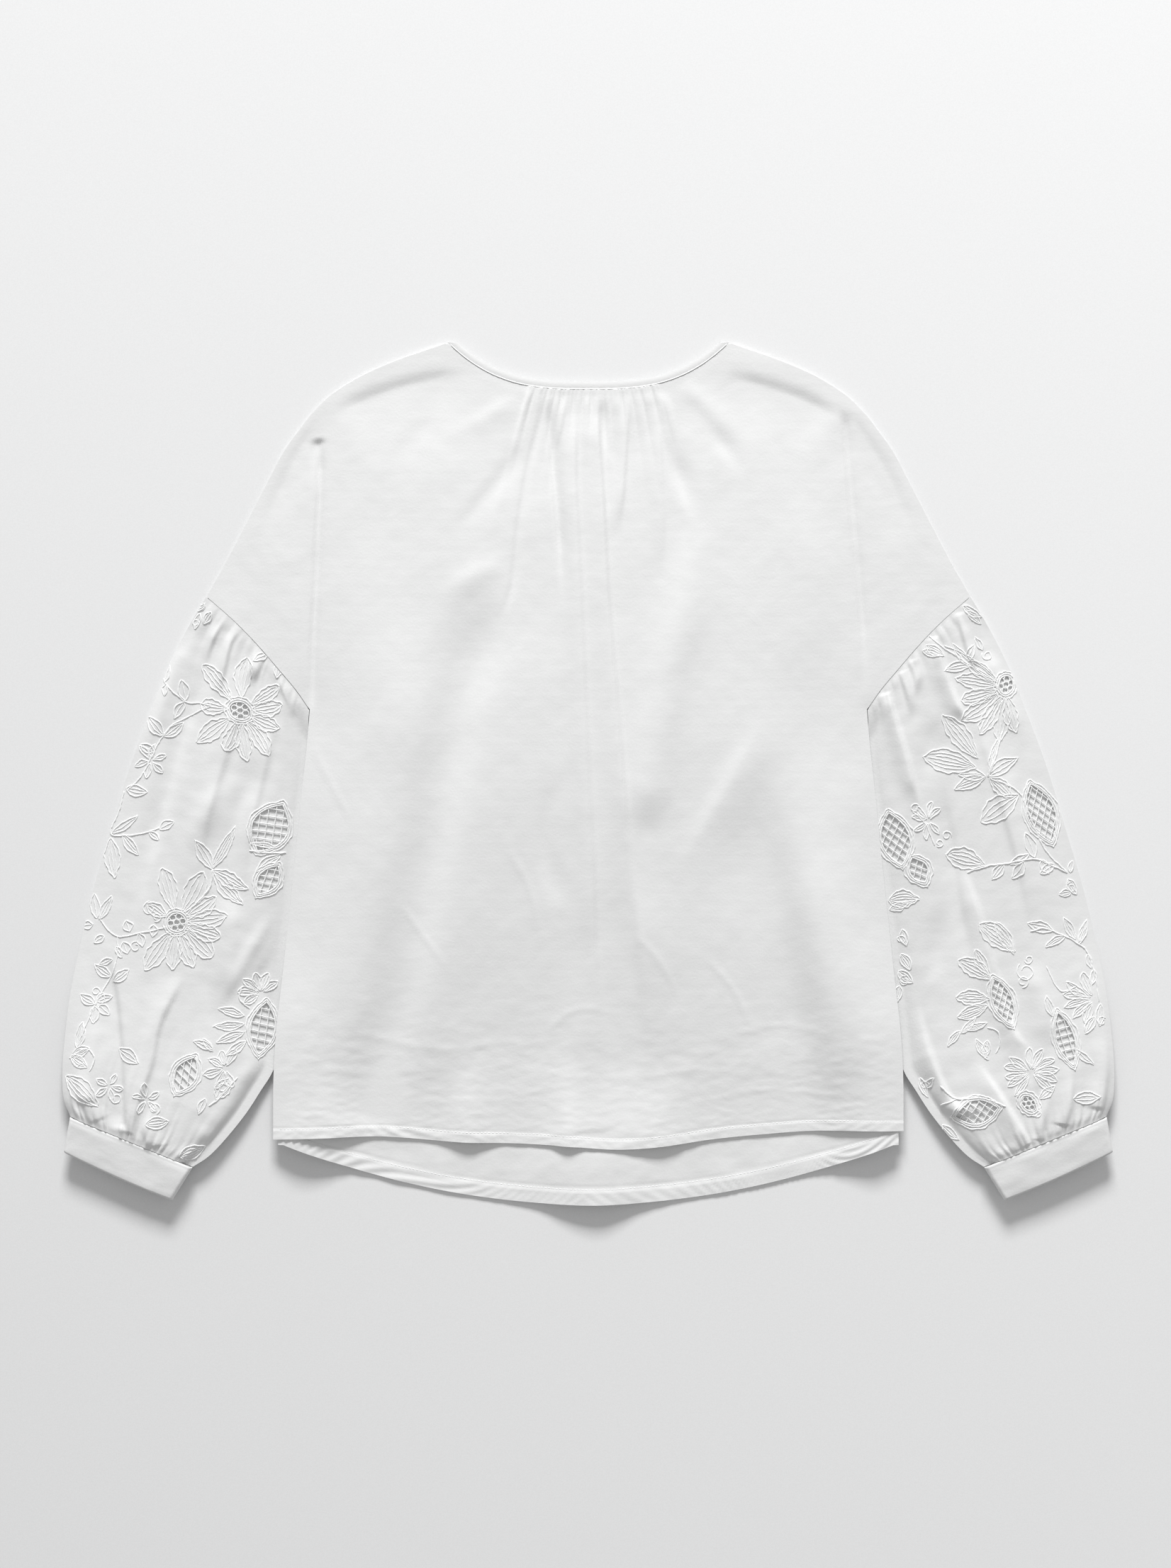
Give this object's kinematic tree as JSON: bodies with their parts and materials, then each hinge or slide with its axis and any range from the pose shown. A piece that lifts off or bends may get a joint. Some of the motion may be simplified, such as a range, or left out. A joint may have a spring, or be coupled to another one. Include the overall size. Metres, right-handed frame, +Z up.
{
  "type": "embroidered blouse",
  "caption": "White cotton blouse laid flat: gathered round neck, dropped shoulders, openwork embroidered balloon sleeves on plain cuffs, and a longer rounded back hem.",
  "frame": {"origin": "middle of the laid-out blouse's bounding box, on the surface that it lies on", "axes": "+X from the left sleeve to the right sleeve as seen from above, +Y from the hem to the neck, +Z up from the surface"},
  "size_m": [0.8502, 0.6984, 0.0137],
  "materials": {
    "front_panel": "matte cotton",
    "back_panel": "matte cotton",
    "neck_binding_front": "matte cotton",
    "neck_binding_back": "matte cotton",
    "sleeve_front_left": "matte cotton",
    "sleeve_back_left": "matte cotton",
    "cuff_left": "matte cotton",
    "sleeve_front_right": "matte cotton",
    "sleeve_back_right": "matte cotton",
    "cuff_right": "matte cotton"
  },
  "bodies": {
    "root": {"front_panel": "front_panel", "back_panel": "back_panel", "neck_binding_front": "neck_binding_front", "neck_binding_back": "neck_binding_back", "sleeve_front_left": "sleeve_front_left", "sleeve_back_left": "sleeve_back_left", "cuff_left": "cuff_left", "sleeve_front_right": "sleeve_front_right", "sleeve_back_right": "sleeve_back_right", "cuff_right": "cuff_right"}
  },
  "joints": []
}
